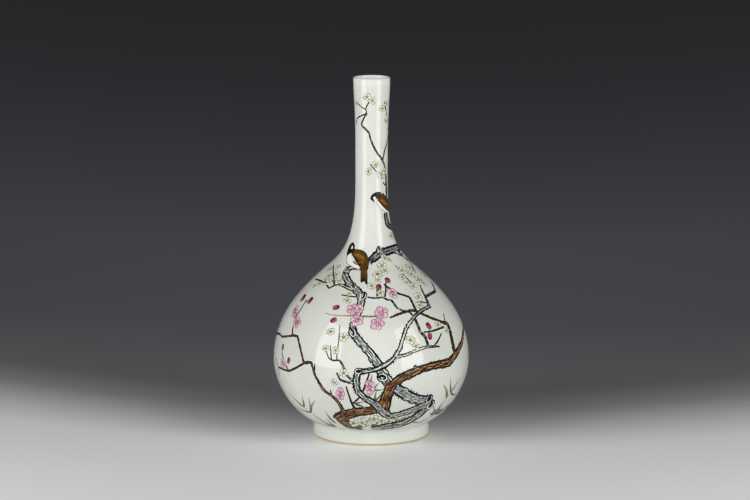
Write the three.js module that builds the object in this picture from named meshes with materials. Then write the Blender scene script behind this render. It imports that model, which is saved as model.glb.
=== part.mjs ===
// A long-necked porcelain bottle vase, thrown in sections that are luted together with slip.
// Millimetres, +Z up, the origin on the ground under the middle of the foot.
import * as THREE from "three";

// Overall outline, outside of the glaze
const height = 360;
const footRadius = 58.2;
const footHeight = 15.5;
const bellyRadius = 98;
const bellyHeight = 77.5;
const shoulderRadius = 39.8;
const shoulderHeight = 175.2;
const waistRadius = 16.4;
const waistHeight = 289.5;
const lipRadius = 18.5;

// Lean of the wall above the level, in degrees, where it leaves the foot and where the shoulder turns
const footLean = 18;
const shoulderLean = 41;

// How far each curve runs on in its own direction, as a share of the height of its span
const footSweep = 0.32;
const bellyUnderSweep = 0.43;
const bellyOverSweep = 0.44;
const shoulderUnderSweep = 0.44;
const shoulderOverSweep = 0.3;
const waistUnderSweep = 0.5;
const waistOverSweep = 0.6;
const lipSweep = 0.27;

// Walls
const footWall = 6;
const bellyWall = 4;
const shoulderWall = 4.2;
const waistWall = 3;
const lipWall = 2.3;
const floorThickness = 5;

// Luted joints, at the widest of the belly and at the neck: the slip and the bead that it leaves inside
const neckSeamHeight = 198;
const slipThickness = 1;
const slipBead = 0.9;

// Foot ring
const footTaper = 0.2;
const restWidth = 3;
const restRounding = 1.1;
const glazeStopHeight = 1.8;
const glazeStep = 0.3;
const recessRadius = 50.2;

// Points along each stretch, and round the vase
const lowerSteps = 10;
const upperSteps = 12;
const neckSteps = 15;
const lipSteps = 6;
const roundingSteps = 3;
const segments = 64;

const glazeWhite = new THREE.MeshStandardMaterial({ color: 0xd9dcd4, roughness: 0.12, metalness: 0 });
const slipWhite = new THREE.MeshStandardMaterial({ color: 0xe6e2d8, roughness: 0.6, metalness: 0 });
const footWhite = new THREE.MeshStandardMaterial({ color: 0xc9a97a, roughness: 0.5, metalness: 0 });

const lipRounding = lipWall / 2;
const lipBase = height - lipRounding;
const innerFloor = footHeight + floorThickness;

// One span of the outline: a cubic curve that leaves `from` along `out` and reaches `to` along `into`
function span(from, out, outSweep, to, into, intoSweep) {
  const rise = to.y - from.y;
  const first = from.clone().addScaledVector(out, outSweep * rise);
  const second = to.clone().addScaledVector(into, -intoSweep * rise);
  return new THREE.CubicBezierCurve(from, first, second, to);
}

function leaning(degrees, side) {
  const lean = THREE.MathUtils.degToRad(degrees);
  return new THREE.Vector2(side * Math.cos(lean), Math.sin(lean));
}

const upright = new THREE.Vector2(0, 1);
const outwards = leaning(footLean, 1);
const inwards = leaning(shoulderLean, -1);
const foot = new THREE.Vector2(footRadius, footHeight);
const belly = new THREE.Vector2(bellyRadius, bellyHeight);
const shoulder = new THREE.Vector2(shoulderRadius, shoulderHeight);
const waist = new THREE.Vector2(waistRadius, waistHeight);
const lip = new THREE.Vector2(lipRadius, lipBase);

const spans = [
  span(foot, outwards, footSweep, belly, upright, bellyUnderSweep),
  span(belly, upright, bellyOverSweep, shoulder, inwards, shoulderUnderSweep),
  span(shoulder, inwards, shoulderOverSweep, waist, upright, waistUnderSweep),
  span(waist, upright, waistOverSweep, lip, upright, lipSweep),
];
const walls = [footWall, bellyWall, shoulderWall, waistWall, lipWall];

// A point of the outer face: t counts spans, from 0 at the foot to the number of spans at the lip
function outerPoint(t) {
  const index = Math.min(Math.floor(t), spans.length - 1);
  return spans[index].getPoint(t - index);
}

// The point of the inner face across the wall from it
function innerPoint(t) {
  const index = Math.min(Math.floor(t), spans.length - 1);
  const share = t - index;
  const tangent = spans[index].getTangent(share);
  const wall = THREE.MathUtils.lerp(walls[index], walls[index + 1], share);
  return spans[index].getPoint(share).add(new THREE.Vector2(-tangent.y, tangent.x).multiplyScalar(wall));
}

// Where a face, which only rises, reaches a height
function turnAt(face, level) {
  let low = 0;
  let high = spans.length;
  for (let i = 0; i < 50; i += 1) {
    const middle = (low + high) / 2;
    if (face(middle).y < level) {
      low = middle;
    } else {
      high = middle;
    }
  }
  return (low + high) / 2;
}

// The points of a face from one height to another, with its ends exactly level
function stretch(face, fromLevel, toLevel, steps) {
  const start = turnAt(face, fromLevel);
  const end = turnAt(face, toLevel);
  const points = [];
  for (let i = 0; i <= steps; i += 1) {
    points.push(face(THREE.MathUtils.lerp(start, end, i / steps)));
  }
  points[0].y = fromLevel;
  points[steps].y = toLevel;
  return points;
}

function arc(centre, radius, fromDegrees, toDegrees, steps) {
  const points = [];
  for (let i = 0; i <= steps; i += 1) {
    const angle = THREE.MathUtils.degToRad(THREE.MathUtils.lerp(fromDegrees, toDegrees, i / steps));
    points.push(new THREE.Vector2(centre.x + radius * Math.cos(angle), centre.y + radius * Math.sin(angle)));
  }
  return points;
}

// A section turned on the wheel; `closed` joins the end of its profile to its start
function turned(name, profile, closed, material) {
  const points = closed ? [...profile, profile[0].clone()] : profile;
  const geometry = new THREE.LatheGeometry(points, segments);
  geometry.rotateX(Math.PI / 2);
  const mesh = new THREE.Mesh(geometry, material);
  mesh.name = name;
  return mesh;
}

// The foot ring: slightly tapered, bare of glaze where it rests, hollow under the base
function makeFootRing() {
  const top = footHeight - slipThickness;
  const groundRadius = footRadius - footTaper;
  const glazeStopRadius = THREE.MathUtils.lerp(groundRadius, footRadius, glazeStopHeight / footHeight);
  const bareRadius = groundRadius - glazeStep;
  const innerGroundRadius = bareRadius - restWidth - 2 * restRounding;
  const outerRound = new THREE.Vector2(bareRadius - restRounding, restRounding);
  const innerRound = new THREE.Vector2(innerGroundRadius + restRounding, restRounding);
  const profile = [
    ...arc(innerRound, restRounding, 180, 270, roundingSteps),
    ...arc(outerRound, restRounding, 270, 360, roundingSteps),
    new THREE.Vector2(bareRadius, glazeStopHeight),
    new THREE.Vector2(glazeStopRadius, glazeStopHeight + glazeStep),
    new THREE.Vector2(THREE.MathUtils.lerp(groundRadius, footRadius, top / footHeight), top),
    new THREE.Vector2(recessRadius, top),
  ];
  return turned("foot_ring", profile, true, footWhite);
}

// The slip under the base, a flat ring as wide as the top of the foot
function makeFootLute() {
  const low = footHeight - slipThickness;
  const outer = THREE.MathUtils.lerp(footRadius - footTaper, footRadius, low / footHeight);
  const profile = [
    new THREE.Vector2(recessRadius, low),
    new THREE.Vector2(outer, low),
    new THREE.Vector2(footRadius, footHeight),
    new THREE.Vector2(recessRadius, footHeight),
    new THREE.Vector2(recessRadius - slipBead, footHeight - slipThickness / 2),
  ];
  return turned("foot_lute", profile, true, slipWhite);
}

function makeLowerBody() {
  const profile = [
    new THREE.Vector2(0, footHeight),
    ...stretch(outerPoint, footHeight, bellyHeight, lowerSteps),
    ...stretch(innerPoint, innerFloor, bellyHeight, lowerSteps).reverse(),
    new THREE.Vector2(0, innerFloor),
  ];
  return turned("lower_body", profile, false, glazeWhite);
}

function makeUpperBody() {
  const low = bellyHeight + slipThickness;
  const profile = [
    ...stretch(outerPoint, low, neckSeamHeight, upperSteps),
    ...stretch(innerPoint, low, neckSeamHeight, upperSteps).reverse(),
  ];
  return turned("upper_body", profile, true, glazeWhite);
}

// The neck ends in a rounded lip as thick as its wall
function makeNeck() {
  const low = neckSeamHeight + slipThickness;
  const crown = new THREE.Vector2(lipRadius - lipRounding, lipBase);
  const profile = [
    ...stretch(outerPoint, low, lipBase, neckSteps),
    ...arc(crown, lipRounding, 0, 180, lipSteps).slice(1, -1),
    ...stretch(innerPoint, low, lipBase, neckSteps).reverse(),
  ];
  return turned("neck", profile, true, glazeWhite);
}

// The slip between two sections: flush outside, with a soft bead inside
function makeLute(name, low) {
  const high = low + slipThickness;
  const lowInner = innerPoint(turnAt(innerPoint, low)).x;
  const highInner = innerPoint(turnAt(innerPoint, high)).x;
  const profile = [
    new THREE.Vector2(lowInner, low),
    new THREE.Vector2(outerPoint(turnAt(outerPoint, low)).x, low),
    new THREE.Vector2(outerPoint(turnAt(outerPoint, high)).x, high),
    new THREE.Vector2(highInner, high),
    new THREE.Vector2((lowInner + highInner) / 2 - slipBead, (low + high) / 2),
  ];
  return turned(name, profile, true, slipWhite);
}

const vase = new THREE.Group();
vase.add(
  makeFootRing(),
  makeFootLute(),
  makeLowerBody(),
  makeLute("belly_lute", bellyHeight),
  makeUpperBody(),
  makeLute("neck_lute", neckSeamHeight),
  makeNeck(),
);

export default vase;
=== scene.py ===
import bmesh
import bpy
import math
import random
from bisect import bisect_right
from mathutils import Matrix, Vector, noise


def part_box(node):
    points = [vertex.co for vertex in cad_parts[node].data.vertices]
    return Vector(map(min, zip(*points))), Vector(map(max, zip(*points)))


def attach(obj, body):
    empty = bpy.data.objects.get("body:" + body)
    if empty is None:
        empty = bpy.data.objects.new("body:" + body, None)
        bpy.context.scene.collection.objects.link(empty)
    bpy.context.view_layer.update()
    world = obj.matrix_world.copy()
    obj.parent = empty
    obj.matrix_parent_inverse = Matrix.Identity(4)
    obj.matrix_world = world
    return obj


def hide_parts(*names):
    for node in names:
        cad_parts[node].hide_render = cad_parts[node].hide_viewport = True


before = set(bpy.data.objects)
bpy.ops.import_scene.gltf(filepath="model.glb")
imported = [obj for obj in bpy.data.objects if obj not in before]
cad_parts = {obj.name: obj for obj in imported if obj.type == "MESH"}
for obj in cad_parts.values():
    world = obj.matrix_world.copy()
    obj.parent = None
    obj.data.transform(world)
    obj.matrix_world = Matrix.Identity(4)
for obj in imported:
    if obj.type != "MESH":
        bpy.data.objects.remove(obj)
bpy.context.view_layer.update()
mm = 0.001  # one millimetre in Blender's metres
print("frame loaded")


def linearOf(hexColour):
    # sRGB hex to Blender's linear colour
    channels = [int(hexColour[i:i + 2], 16) / 255 for i in (1, 3, 5)]
    return tuple(c / 12.92 if c <= 0.04045 else ((c + 0.055) / 1.055) ** 2.4 for c in channels) + (1.0,)


def addNode(tree, kind, settings, links):
    # adds one node, with its settings and what feeds its inputs, and gives its outputs; `stops` are the places and
    # colours of a ramp
    node = tree.nodes.new("ShaderNode" + kind)
    for key, value in settings.items():
        if key == "stops":
            points = node.color_ramp.elements
            while len(points) < len(value):
                points.new(0.5)
            for point, (place, colour) in zip(points, value):
                point.position = place
                point.color = linearOf(colour)
        elif isinstance(key, str) and hasattr(node, key):
            setattr(node, key, value)
        else:
            node.inputs[key].default_value = value
    for key, output in links.items():
        tree.links.new(output, node.inputs[key])
    return node.outputs


def addObject(name, data):
    made = bpy.data.objects.new(name, data)
    bpy.context.scene.collection.objects.link(made)
    return made


def meshObject(name, bm):
    # the built mesh as an object at the origin
    mesh = bpy.data.meshes.new(name)
    bm.to_mesh(mesh)
    bm.free()
    return addObject(name, mesh)


# The outline of the porcelain, in mm: four curves through landmarks, as in the solids
outline = {
    "footRadius": 58.2,
    "shoulder": (39.8, 175.2),
    "waist": (16.4, 289.5),
    "lipRadius": 18.5,
    "lipRounding": 1.15,
    "footLean": 18,
    "shoulderLean": 41,
    "sweeps": [(0.32, 0.43), (0.44, 0.44), (0.3, 0.5), (0.6, 0.27)],
    "walls": [6, 4, 4.2, 3, 2.3],
    "floor": 5,
}
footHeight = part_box("lower_body")[0].z / mm
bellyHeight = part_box("lower_body")[1].z / mm
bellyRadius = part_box("lower_body")[1].x / mm
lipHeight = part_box("neck")[1].z / mm
enamelRoom = 0.25  # the glaze lies this far inside the solids' face, so that the raised enamel stays within it
lowestClimb = 0.4


def outlineSpans():
    # the four curves, each as its two ends and the two handles between them
    up = Vector((0, 1))
    lean = math.radians(outline["footLean"])
    turn = math.radians(outline["shoulderLean"])
    stations = [
        (Vector((outline["footRadius"], footHeight)), Vector((math.cos(lean), math.sin(lean)))),
        (Vector((bellyRadius, bellyHeight)), up),
        (Vector(outline["shoulder"]), Vector((-math.cos(turn), math.sin(turn)))),
        (Vector(outline["waist"]), up),
        (Vector((outline["lipRadius"], lipHeight - outline["lipRounding"])), up),
    ]
    made = []
    for (a, leaving), (b, reaching), sweep in zip(stations, stations[1:], outline["sweeps"]):
        rise = b.y - a.y
        made.append((a, a + leaving * sweep[0] * rise, b - reaching * sweep[1] * rise, b))
    return made


spans = outlineSpans()


def outlineAt(t):
    # point and outward normal of the outline; t counts the curves from the foot to the lip
    index = min(int(t), len(spans) - 1)
    a, b, c, d = spans[index]
    s = t - index
    r = 1 - s
    point = a * r ** 3 + b * 3 * s * r * r + c * 3 * s * s * r + d * s ** 3
    slope = (b - a) * r * r + (c - b) * 2 * r * s + (d - c) * s * s
    slope.normalize()
    return point, Vector((slope.y, -slope.x))


# The climb is the way up the outline from the foot, in mm; a place on the vase is (angle, climb)
climbs, radii, heights, normals = [], [], [], []
stepsPerSpan = 300
for step in range(len(spans) * stepsPerSpan + 1):
    point, normal = outlineAt(step / stepsPerSpan)
    climbs.append(climbs[-1] + math.hypot(point.x - radii[-1], point.y - heights[-1]) if climbs else 0)
    radii.append(point.x)
    heights.append(point.y)
    normals.append(normal)


def blendAt(table, value):
    # index and share between two entries of a rising table
    index = min(max(bisect_right(table, value) - 1, 0), len(table) - 2)
    share = (value - table[index]) / (table[index + 1] - table[index])
    return index, min(max(share, 0), 1)


def radiusAtHeight(height):
    # the outline's radius by the height above the ground
    i, s = blendAt(heights, height)
    return radii[i] + (radii[i + 1] - radii[i]) * s


def radiusAtClimb(climb):
    # and by the climb
    i, s = blendAt(climbs, climb)
    return radii[i] + (radii[i + 1] - radii[i]) * s


def onVase(angle, climb, lift):
    # the point in metres that stands `lift` mm proud of the glaze, clear of the foot's edge
    i, s = blendAt(climbs, max(climb, lowestClimb))
    normal = normals[i].lerp(normals[i + 1], s)
    proud = lift - enamelRoom
    radius = radii[i] + (radii[i + 1] - radii[i]) * s + normal.x * proud
    height = heights[i] + (heights[i + 1] - heights[i]) * s + normal.y * proud
    return Vector((radius * math.sin(angle), -radius * math.cos(angle), height)) * mm


def spot(degrees, height):
    # a place given by its angle from the front and its height in mm
    i, s = blendAt(heights, height)
    return math.radians(degrees), climbs[i] + (climbs[i + 1] - climbs[i]) * s


# The painting's front is laid out on a sheet square to the view: mm to the right of the axis and up from the ground.
# The sheet is `wide` mm across and hangs `away` mm from the eye; the vase's wall lies within `steps` strides of that
# distance from `nearest` on, and is found by `halvings`
sheet = {
    "eye": (3.6, -3077, 716),
    "tilt": 9.76,
    "roll": 0.12,
    "away": 3135,
    "wide": 750,
    "axis": -4,
    "ground": -183,
    "nearest": 0.95,
    "steps": 100,
    "stride": 0.0006,
    "halvings": 18,
}
gaze = Matrix.Rotation(math.radians(90 - sheet["tilt"]), 3, "X") @ Matrix.Rotation(math.radians(sheet["roll"]), 3, "Z")


def seen(x, y, turn=0):
    # the place on the vase where the eye sees a point of the sheet; `turn` walks the eye round the vase
    eye = Vector(sheet["eye"])
    ray = gaze @ Vector((x + sheet["axis"], y + sheet["ground"], -sheet["away"]))

    def gap(share):
        p = eye + ray * share
        return math.hypot(p.x, p.y) - radiusAtHeight(p.z)

    shares = [sheet["nearest"] + i * sheet["stride"] for i in range(sheet["steps"])]
    inside = next((i for i, share in enumerate(shares) if gap(share) < 0), None)
    if inside is None:
        best = min(shares, key=gap)
    else:
        low, high = shares[inside - 1], shares[inside]
        for _ in range(sheet["halvings"]):
            best = (low + high) / 2
            low, high = (low, best) if gap(best) < 0 else (best, high)
    p = eye + ray * best
    angle = math.atan2(p.x, -p.y) + math.radians(turn)
    return angle, spot(0, p.z)[1]


def drawn(points, turn=0):
    # a route given on the sheet
    return [seen(x, y, turn) for x, y in points]


def around(points):
    # a route given by angles and heights
    return [spot(degrees, height) for degrees, height in points]


def beside(place, right, up):
    # a place moved along the surface, in mm
    climb = max(place[1] + up, 0)
    return place[0] + right / radiusAtClimb((place[1] + climb) / 2), climb


def away(place, degrees, distance):
    # a place moved by a distance in a direction: 0 is to the right, 90 is up
    turn = math.radians(degrees)
    return beside(place, distance * math.cos(turn), distance * math.sin(turn))


def stepBetween(a, b):
    # the way from one place to another in mm: right and up
    radius = radiusAtClimb((a[1] + b[1]) / 2)
    return (b[0] - a[0]) * radius, b[1] - a[1]


def smoothLine(route, step, ease):
    # even points along a route, each with its station on it; ease 0 keeps the corners, 1 rounds them
    points = []
    cuts = 10
    last = len(route) - 1
    for i in range(last):
        a, b = route[i], route[i + 1]
        before, after = route[max(i - 1, 0)], route[min(i + 2, last)]
        for j in range(cuts):
            t = j / cuts
            h1, h2 = t * t * t - 2 * t * t + t, t * t * t - t * t
            w = 3 * t * t - 2 * t * t * t
            x, y = (a[k] * (1 - w) + b[k] * w + ease * 0.5 * ((b[k] - before[k]) * h1 + (after[k] - a[k]) * h2)
                    + (1 - ease) * (b[k] - a[k]) * (t - w) for k in (0, 1))
            points.append((x, y, i + t))
    points.append((*route[last][:2], last))
    marks = [0]
    for a, b in zip(points, points[1:]):
        marks.append(marks[-1] + max(math.hypot(*stepBetween(a, b)), 1e-6))
    count = max(int(round(marks[-1] / step)), 2)
    line = []
    for i in range(count + 1):
        index, share = blendAt(marks, marks[-1] * i / count)
        a, b = points[index], points[index + 1]
        line.append(tuple(a[k] + (b[k] - a[k]) * share for k in (0, 1, 2)))
    return line, marks[-1]


def valueAt(values, share):
    # a number from a short list of them, spread evenly from 0 to 1
    if len(values) == 1:
        return values[0]
    place = min(max(share, 0), 1) * (len(values) - 1)
    index = min(int(place), len(values) - 2)
    return values[index] + (values[index + 1] - values[index]) * (place - index)


brushes = {}
# The bristles' spacing across a stroke, how deep its rim is sunk, and mm to the texture's unit
paint = {"bristle": 1.6, "sink": 0.03, "texture": 0.1}
roundEnds = [0.12, 0.62, 0.88, 1, 1, 0.88, 0.62, 0.12]
petalShape = [0.25, 0.55, 0.8, 0.98, 1, 0.92, 0.7, 0.2]
bladeShape = [0.3, 0.85, 1, 0.95, 0.8, 0.6, 0.36, 0.06]


def brushFor(name):
    # the mesh that gathers all strokes of one enamel
    if name not in brushes:
        bm = bmesh.new()
        brushes[name] = (bm, bm.loops.layers.uv.new("stroke"), bm.verts.layers.float.new("tone"))
    return brushes[name]


def stroke(name, route, widths, lift, over=0.0, across=0, step=1.5, crown=0.02, ease=0.8, rough=0.0, grain=2.5,
           tone=0.5):
    # one brush stroke of enamel: a raised band bent along the route, whose rim goes down to `over`, what lies under
    # it; `rough` mm is how far its edges wander, in swings of `grain` mm
    bm, uvLayer, toneLayer = brushFor(name)
    line, length = smoothLine(route, step, ease)
    rows, columns = len(line) - 1, across or max(3, 2 + math.ceil(max(widths) / paint["bristle"]))
    made = bmesh.ops.create_grid(bm, x_segments=columns, y_segments=rows, size=0.5)["verts"]
    headings = []
    for i in range(rows + 1):
        right, up = stepBetween(line[max(i - 1, 0)], line[min(i + 1, rows)])
        size = math.hypot(right, up) or 1
        headings.append((right / size, up / size))
    seed = line[0][0] * 37 + line[0][1] * 3.1
    where = {}
    for vert in made:
        i, column = round((vert.co.y + 0.5) * rows), round((vert.co.x + 0.5) * columns)
        along = length * i / rows
        rim = column in (0, columns) or i in (0, rows)
        side = (column > 0) - 0.5 if column in (0, columns) else 0.8 * (column - 1) / (columns - 2) - 0.4
        width = valueAt(widths, line[i][2] / (len(route) - 1))
        if rough:
            wander = noise.noise(Vector((along / grain, seed + 9 * (side > 0), 0.5)))
            width = max(width + 2 * rough * wander, 0.1)
        heading = headings[i]
        place = beside(line[i], side * width * heading[1], -side * width * heading[0])
        vert.co = onVase(place[0], place[1], over - paint["sink"] if rim else lift + crown * (1 - (2 * side) ** 2))
        vert[toneLayer] = tone
        where[vert] = (side * width * paint["texture"], along * paint["texture"])
    for face in {f for vert in made for f in vert.link_faces}:
        face.smooth = True
        for loop in face.loops:
            loop[uvLayer].uv = where[loop.vert]


def dab(name, centre, length, width, degrees, lift, over=0.0, shape=roundEnds, across=4, crown=0.03, tone=0.5):
    # a short fat stroke, such as a petal or a dot
    start, end = away(centre, degrees + 180, length / 2), away(centre, degrees, length / 2)
    stroke(name, [start, end], [width * s for s in shape], lift, over, across, length / 7, crown, tone=tone)


def oval(centre, length, width, degrees, angles):
    # places on an oval that lies at an angle
    c, s = math.cos(math.radians(degrees)), math.sin(math.radians(degrees))
    points = [(math.cos(a) * length / 2, math.sin(a) * width / 2) for a in angles]
    return [beside(centre, x * c - y * s, x * s + y * c) for x, y in points]


def loopLine(name, centre, length, width, degrees, thickness, lift, over):
    # a thin line round an oval
    steps = 12
    route = oval(centre, length, width, degrees, [math.tau * i / steps for i in range(steps + 1)])
    stroke(name, route, [thickness], lift, over, 3, max(length, width) / 6, 0.01, 1.0)


def limbLine(route, widths, ease):
    # the middle line of a limb, with a function for the places on it
    line, length = smoothLine(route, 0.8, ease)
    rows = len(line) - 1

    def widthAt(share):
        i = min(max(round(share * rows), 0), rows)
        return valueAt(widths, line[i][2] / (len(route) - 1))

    def at(share, aside, beyond=0.0):
        # `aside` counts widths from the middle, `beyond` mm on from there
        i = min(max(round(share * rows), 0), rows)
        right, up = stepBetween(line[max(i - 3, 0)], line[min(i + 3, rows)])
        size = math.hypot(right, up) or 1
        reach = aside * widthAt(share) + math.copysign(beyond, aside)
        return beside(line[i], reach * up / size, -reach * right / size)

    return length, widthAt, at


# Bark, in mm: the widths of its marks, and from which width of limb on each kind of mark has room.
# `barkRoom` and `gleamRoom` are the mm2 of wash for each mark
bark = {
    "rim": 1.6,
    "wideLimb": 6,
    "rimShares": (0.27, 0.33),
    "spurWidth": 2.2,
    "spurGap": (1.4, 3.6),
    "lightWidth": 0.75,
    "lightRun": (4, 11),
    "lightFrom": 3,
    "shadeFrom": 5.5,
    "lineFrom": 2.6,
    "gleamFrom": 4.5,
    "spurFrom": 4,
    "lumpFrom": 4,
    "lumpTo": 12.8,
    "lumpShare": (0.38, 0.6),
    "lumpGap": (6, 13),
}
limbs = {
    "grey_tree": {"rough": 0.5, "spur": 1.5, "lightGap": 6, "barkRoom": 13, "barkWidth": 0.85, "barkRun": (1.5, 6),
                  "shades": 0.7, "gleamRoom": 50},
    "brown_tree": {"rough": 0.62, "spur": 1.3, "lightGap": 12, "barkRoom": 11, "barkWidth": 1.2, "barkRun": (3, 9),
                   "shades": 1, "gleamRoom": 34},
}


def levelHeight(level):
    # how far a branch of that level stands proud of the glaze: the higher one crosses over the lower
    return 0.02 + level * 0.03


def limb(tree, route, widths, level=0, seed=1, ease=0.8, pale=False, tone=None, bold=1.0, lit=True, barbs=1.0):
    # a gnarled limb: a jagged dark outline, a mottled wash, broken lights down both sides, bark lines, spurs, lumps;
    # `bold` thickens its lines where the wall leans away from the eye, `barbs` lengthens the spurs, a `pale` limb has
    # the light wash, and one that isn't `lit` has fewer marks and no lights
    draw = random.Random(seed)
    base = levelHeight(level)
    length, widthAt, at = limbLine(route, widths, ease)
    form = limbs[tree]

    def rimAt(width):
        return min(bark["rim"] * bold, bark["rimShares"][0 if width > bark["wideLimb"] or pale else 1] * width)

    def mark(part, share, aside, run, width, lift, wander=0.07):
        # a short line that tapers at both ends
        ends = [at(share, aside), at(share + run / 2, aside + draw.uniform(-wander, wander)),
                at(share + run, aside * 0.92)]
        stroke(tree + part, ends, [0.2, width, width, 0.2], base + lift, base + 0.03, step=0.9)

    stroke(tree + "_ink", route, [1.1 * w + 0.3 for w in widths], base, step=0.7, crown=0, ease=ease,
           rough=form["rough"], grain=1.5)
    stroke(tree + ("_pale" if pale else "_wash"), route, [1.12 * (w - 2 * rimAt(w)) for w in widths],
           base + 0.02, base, step=0.8, ease=ease, rough=0.3, grain=1.7,
           tone=draw.random() if tone is None else tone)
    for side in (-1, 1):
        share = draw.uniform(0.0, 0.04)
        while share < 0.95:
            run, width = draw.uniform(*bark["lightRun"]) / length, widthAt(share)
            inset = (rimAt(width) + 0.45 * bold) / width
            if width > bark["lightFrom"] and lit and not pale:
                thick = min(bark["lightWidth"] * bold, 0.14 * width) * draw.uniform(0.7, 1.15)
                mark("_lights", share, side * max(0.5 - inset, 0.02), run, thick, 0.075, 0.03)
            if width > bark["shadeFrom"] and draw.random() < form["shades"]:
                mark("_bark", share + 0.1 * run, side * (0.5 - inset - 1.05 * bold / width), run * 0.85,
                     form["barkWidth"] * bold, 0.07, 0.03)
            share += run + draw.uniform(0.5, form["lightGap"]) / length
    middle = sum(widths) / len(widths)
    for _ in range(int(length * middle / form["barkRoom"] * (1 if lit else 0.4))):
        share = draw.uniform(0.0, 0.97)
        if widthAt(share) > bark["lineFrom"]:
            mark("_bark", share, draw.uniform(-0.34, 0.34), draw.uniform(*form["barkRun"]) / length,
                 draw.uniform(0.5, 1) * min(form["barkWidth"] * bold, (0.3 if pale else 0.2) * widthAt(share)), 0.065)
    for _ in range(int(length * middle / form["gleamRoom"]) if lit and not pale else 0):
        share = draw.uniform(0.0, 0.97)
        if widthAt(share) > bark["gleamFrom"]:
            mark("_lights", share, draw.uniform(-0.24, 0.24), draw.uniform(*form["barkRun"]) / length,
                 bark["lightWidth"] * 0.7, 0.08)
    along = draw.uniform(0, 1.5)
    while along < length - 0.5:
        share, side = along / length, draw.choice((-1, 1))
        if widthAt(share) > bark["spurFrom"] - (0.5 if pale else 0):
            tip = at(share + draw.uniform(-0.8, 0.8) / length, side * 0.5,
                     form["spur"] * barbs * draw.uniform(0.4, 1.1))
            stroke(tree + "_ink", [at(share, side * 0.42), tip], [bark["spurWidth"] * bold, 1.4, 0.4], base + 0.005,
                   step=0.7)
        along += draw.uniform(*bark["spurGap"])
    along = draw.uniform(3, 9)
    while along < length - 4:
        # lumps where side shoots have dropped off
        share, side, width = along / length, draw.choice((-1, 1)), widthAt(along / length)
        size = draw.uniform(*bark["lumpShare"]) * width
        if lit and bark["lumpFrom"] < width < bark["lumpTo"]:
            right, up = stepBetween(at(share - 1 / length, 0), at(share + 1 / length, 0))
            heading = math.degrees(math.atan2(up, right))
            dab(tree + "_ink", at(share, side * 0.41), size + 2, size * 0.6 + 1.3, heading, base)
            dab(tree + "_wash", at(share, side * 0.37), size, size * 0.6, heading, base + 0.022, tone=draw.random())
        along += draw.uniform(*bark["lumpGap"])


def knot(tree, centre, size, degrees, level, slim=0.72, hook=True):
    # an old branch scar: a dark rim, a light ring that stays open at one side, and a dark hollow with a hook of light
    base = 0.04 + levelHeight(level)
    dab(tree + "_ink", centre, size * 1.2, size * slim * 1.3, degrees, base)
    ring = oval(centre, 0.8 * size, 0.8 * size * slim, degrees, [0.5 + k * 0.62 for k in range(10)])
    thick = max(0.55, size * 0.09)
    stroke(tree + "_lights", ring, [thick * 0.6, thick, thick, thick * 0.5], base + 0.04, base - 0.01, step=0.6,
           ease=1.0)
    if size > 6 and hook:
        curl = [away(centre, degrees + turn, size * reach)
                for turn, reach in ((190, 0.17), (130, 0.1), (40, 0.09), (0, 0.17))]
        stroke(tree + "_lights", curl, [0.25, size * 0.08, 0.25], base + 0.04, base - 0.01, step=0.6, ease=1.0)


def twig(tree, route, widths, level=0, lit=True):
    # a thin branch: one dark line, with dashes of the wash where it is wide enough, or of the lights if it is `lit`
    ease = 0.35
    draw = random.Random(5 + int(route[0][1] * 10))
    base = levelHeight(level)
    stroke(tree + "_ink", route, [w + 0.8 for w in widths], base, step=0.9, crown=0.01, ease=ease, rough=0.28,
           grain=1.6)
    length, widthAt, at = limbLine(route, widths, ease)
    along = draw.uniform(0.3, 1.5)
    while along < length - 1:
        run = draw.uniform(2, 6)
        width = widthAt((along + run / 2) / length)
        if width > 1.2:
            ends = [at(min(along + run * k / 2, length - 0.5) / length, draw.uniform(-0.1, 0.1)) for k in range(3)]
            part = "_lights" if width > 2.2 and lit and tree == "grey_tree" else "_wash"
            stroke(tree + part, ends, [0.15, width * 0.4, width * 0.4, 0.15], base + 0.05, base + 0.01, step=1.0,
                   tone=draw.random())
        along += run + draw.uniform(0.6, 3)


# Blossoms: `base` in mm, the rest as shares of the blossom's size
blossoms = {
    "pink": {"base": 0.12, "vein": 0.7, "line": 0.034, "heart": 0.15, "stamens": 8, "thread": 0.045, "tip": 0.08,
             "reach": 0.32},
    "white": {"base": 0.1, "vein": 0.56, "line": 0.05, "heart": 0.1, "stamens": 7, "thread": 0.034, "tip": 0.07,
              "reach": 0.27},
}
petal = {"count": 5, "root": 0.06, "middle": 0.29, "tips": (0.44, 0.55), "width": 0.46}


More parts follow.
